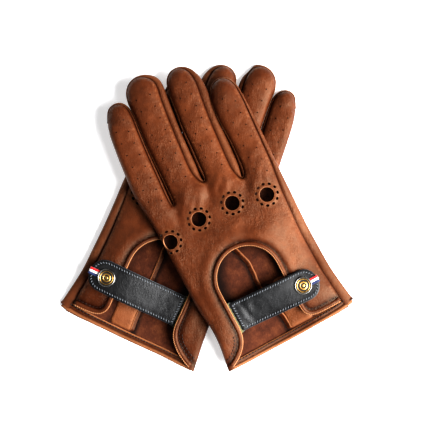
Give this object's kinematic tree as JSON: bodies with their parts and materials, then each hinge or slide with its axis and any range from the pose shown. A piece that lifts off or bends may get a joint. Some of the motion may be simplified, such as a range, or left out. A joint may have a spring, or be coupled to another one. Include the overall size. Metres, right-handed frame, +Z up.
{
  "type": "pair of leather gloves",
  "caption": "Pair of brown leather driving gloves lying crossed, palms down, with open backs, knuckle holes and dark snap straps at the wrist.",
  "frame": {"origin": "on the table, under the middle of the pair's bounding box", "axes": "+Z up from the table, +Y towards the fingertips, +X towards the left glove's cuff, as the pair is seen from above"},
  "size_m": [0.2292, 0.245, 0.0251],
  "materials": {
    "back_leather": "smooth semi-gloss",
    "palm_leather": "smooth semi-gloss",
    "side_leather": "smooth semi-gloss",
    "edge_leather": "smooth semi-gloss",
    "strap_leather": "satin",
    "strap_lining": "matt",
    "anchor_tab": "matt",
    "ribbon": "woven",
    "brass": "polished",
    "nickel": "satin"
  },
  "bodies": {
    "right_glove": {"right_hand_back": "back_leather", "right_hand_palm": "palm_leather", "right_hand_side_strip": "side_leather", "right_little_back": "back_leather", "right_little_palm": "palm_leather", "right_little_inner_fourchette": "side_leather", "right_ring_back": "back_leather", "right_ring_palm": "palm_leather", "right_ring_outer_fourchette": "side_leather", "right_ring_inner_fourchette": "side_leather", "right_middle_back": "back_leather", "right_middle_palm": "palm_leather", "right_middle_outer_fourchette": "side_leather", "right_middle_inner_fourchette": "side_leather", "right_index_back": "back_leather", "right_index_palm": "palm_leather", "right_index_outer_fourchette": "side_leather", "right_index_side_strip": "side_leather", "right_thumb_lower": "palm_leather", "right_thumb_upper": "palm_leather", "right_cuff_hem": "edge_leather", "right_opening_binding": "edge_leather", "right_strap_anchor": "anchor_tab", "right_snap_stud": "nickel"},
    "right_strap_flap": {"right_strap": "strap_leather", "right_strap_lining": "strap_lining", "right_ribbon_tab": "ribbon", "right_snap_cap": "brass", "right_snap_socket": "nickel"},
    "left_glove": {"left_hand_back": "back_leather", "left_hand_palm": "palm_leather", "left_hand_side_strip": "side_leather", "left_thumb_lower": "palm_leather", "left_thumb_upper": "palm_leather", "left_cuff_hem": "edge_leather", "left_opening_binding": "edge_leather", "left_strap_anchor": "anchor_tab", "left_snap_stud": "nickel"},
    "left_strap_flap": {"left_strap": "strap_leather", "left_strap_lining": "strap_lining", "left_ribbon_tab": "ribbon", "left_snap_cap": "brass", "left_snap_socket": "nickel"},
    "left_little_finger": {"left_little_back": "back_leather", "left_little_palm": "palm_leather", "left_little_inner_fourchette": "side_leather"},
    "left_ring_finger": {"left_ring_back": "back_leather", "left_ring_palm": "palm_leather", "left_ring_outer_fourchette": "side_leather", "left_ring_inner_fourchette": "side_leather"},
    "left_middle_finger": {"left_middle_back": "back_leather", "left_middle_palm": "palm_leather", "left_middle_outer_fourchette": "side_leather", "left_middle_inner_fourchette": "side_leather"},
    "left_index_finger": {"left_index_back": "back_leather", "left_index_palm": "palm_leather", "left_index_outer_fourchette": "side_leather", "left_index_side_strip": "side_leather"}
  },
  "joints": [
    {"name": "left_glove_lift", "type": "slide", "parent": "right_glove", "child": "left_glove", "axis": [0, 0, 1], "range_m": [0, 0.08]},
    {"name": "left_strap_open", "type": "hinge", "parent": "left_glove", "child": "left_strap_flap", "pos_m": [0.02256, -0.07981, 0.01825], "axis": [0.4606, -0.8662, -0.1939], "range_deg": [0, 115]},
    {"name": "right_strap_open", "type": "hinge", "parent": "right_glove", "child": "right_strap_flap", "pos_m": [-0.02479, -0.07588, 0.00883], "axis": [0.4163, 0.9092, 0], "range_deg": [0, 85]},
    {"name": "left_little_finger_bend", "type": "hinge", "parent": "left_glove", "child": "left_little_finger", "pos_m": [-0.03694, -0.00004, 0.0238], "axis": [0.917, 0.3988, 0], "range_deg": [0, 40]},
    {"name": "left_ring_finger_bend", "type": "hinge", "parent": "left_glove", "child": "left_ring_finger", "pos_m": [-0.01579, 0.01628, 0.0238], "axis": [0.9138, 0.4062, 0], "range_deg": [0, 40]},
    {"name": "left_middle_finger_bend", "type": "hinge", "parent": "left_glove", "child": "left_middle_finger", "pos_m": [0.01075, 0.03129, 0.0238], "axis": [0.9186, 0.3951, 0], "range_deg": [0, 40]},
    {"name": "left_index_finger_bend", "type": "hinge", "parent": "left_glove", "child": "left_index_finger", "pos_m": [0.04021, 0.03971, 0.0238], "axis": [0.9038, 0.4279, 0], "range_deg": [0, 40]}
  ]
}
